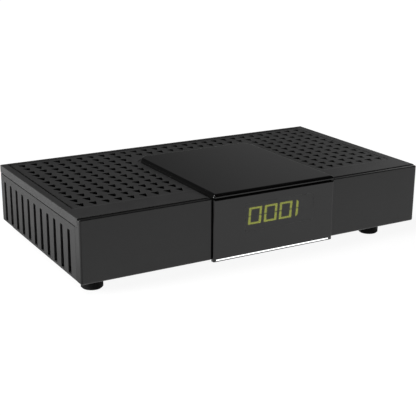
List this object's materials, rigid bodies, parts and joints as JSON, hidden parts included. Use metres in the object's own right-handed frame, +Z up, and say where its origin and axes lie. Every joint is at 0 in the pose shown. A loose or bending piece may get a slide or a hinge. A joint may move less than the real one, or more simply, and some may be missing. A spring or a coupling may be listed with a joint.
{
  "type": "satellite television receiver",
  "caption": "Flat black receiver box with perforated cover, slotted sides, gloss centre band over top and front, lit digit display, round feet and rear sockets with a rocker switch.",
  "frame": {"origin": "middle of the bounding box in X and Y, on the surface under the feet", "axes": "+Z up, +X to the right seen from the front, the front faces -Y"},
  "size_m": [0.22, 0.1312, 0.0425],
  "materials": {
    "cover_plastic": "fine spark texture, near-black",
    "tray_plastic": "fine spark texture, near-black",
    "fascia_plastic": "smooth satin black",
    "gloss_black": "piano black",
    "smoked_window": "smoked acrylic, near-opaque",
    "panel_plastic": "satin black",
    "foot_rubber": "matt black",
    "screw_steel": "zinc plated",
    "segment_lit": "lit yellow-green diffuser",
    "segment_unlit": "unlit diffuser",
    "display_plastic": "matt black",
    "board_green": "green solder mask",
    "chip_plastic": "moulded epoxy",
    "sink_aluminium": "extruded",
    "capacitor_sleeve": "shrink sleeve",
    "coil_ferrite": "moulded ferrite",
    "shield_steel": "tin plate",
    "connector_nickel": "nickel plated",
    "connector_brass": "tinned brass",
    "insulator_white": "plain",
    "socket_plastic": "satin black",
    "socket_orange": "orange, the colour code of digital audio",
    "switch_plastic": "satin black",
    "rocker_plastic": "polished black"
  },
  "bodies": {
    "case": {"top_cover": "cover_plastic", "base_tray": "tray_plastic", "front_fascia": "fascia_plastic", "band_plate": "gloss_black", "display_window": "smoked_window", "rear_panel": "panel_plastic", "rubber_feet": "foot_rubber", "case_screws": "screw_steel", "display_lit": "segment_lit", "display_unlit": "segment_unlit", "display_housing": "display_plastic", "display_board": "board_green", "display_header": "display_plastic", "infrared_receiver": "chip_plastic", "main_board": "board_green", "board_screws": "screw_steel", "decoder_chip": "chip_plastic", "heat_sink": "sink_aluminium", "memory_chips": "chip_plastic", "flash_chip": "chip_plastic", "clock_crystal": "shield_steel", "capacitors": "capacitor_sleeve", "power_coils": "coil_ferrite", "tuner_can": "shield_steel", "aerial_socket": "connector_nickel", "aerial_insulator": "insulator_white", "aerial_washer": "connector_nickel", "aerial_nut": "connector_nickel", "scart_socket": "socket_plastic", "hdmi_socket": "shield_steel", "usb_socket": "shield_steel", "audio_housing": "socket_plastic", "audio_shell": "connector_nickel", "audio_insulator": "socket_orange", "power_jack": "socket_plastic", "power_pin": "connector_nickel", "switch_housing": "switch_plastic", "switch_terminals": "connector_brass"},
    "rocker": {"power_rocker": "rocker_plastic"}
  },
  "joints": [
    {"name": "power_rocker_tilt", "type": "hinge", "parent": "case", "child": "rocker", "pos_m": [0.09, 0.0516, 0.0237], "axis": [0, 0, 1], "range_deg": [-20, 0]}
  ]
}
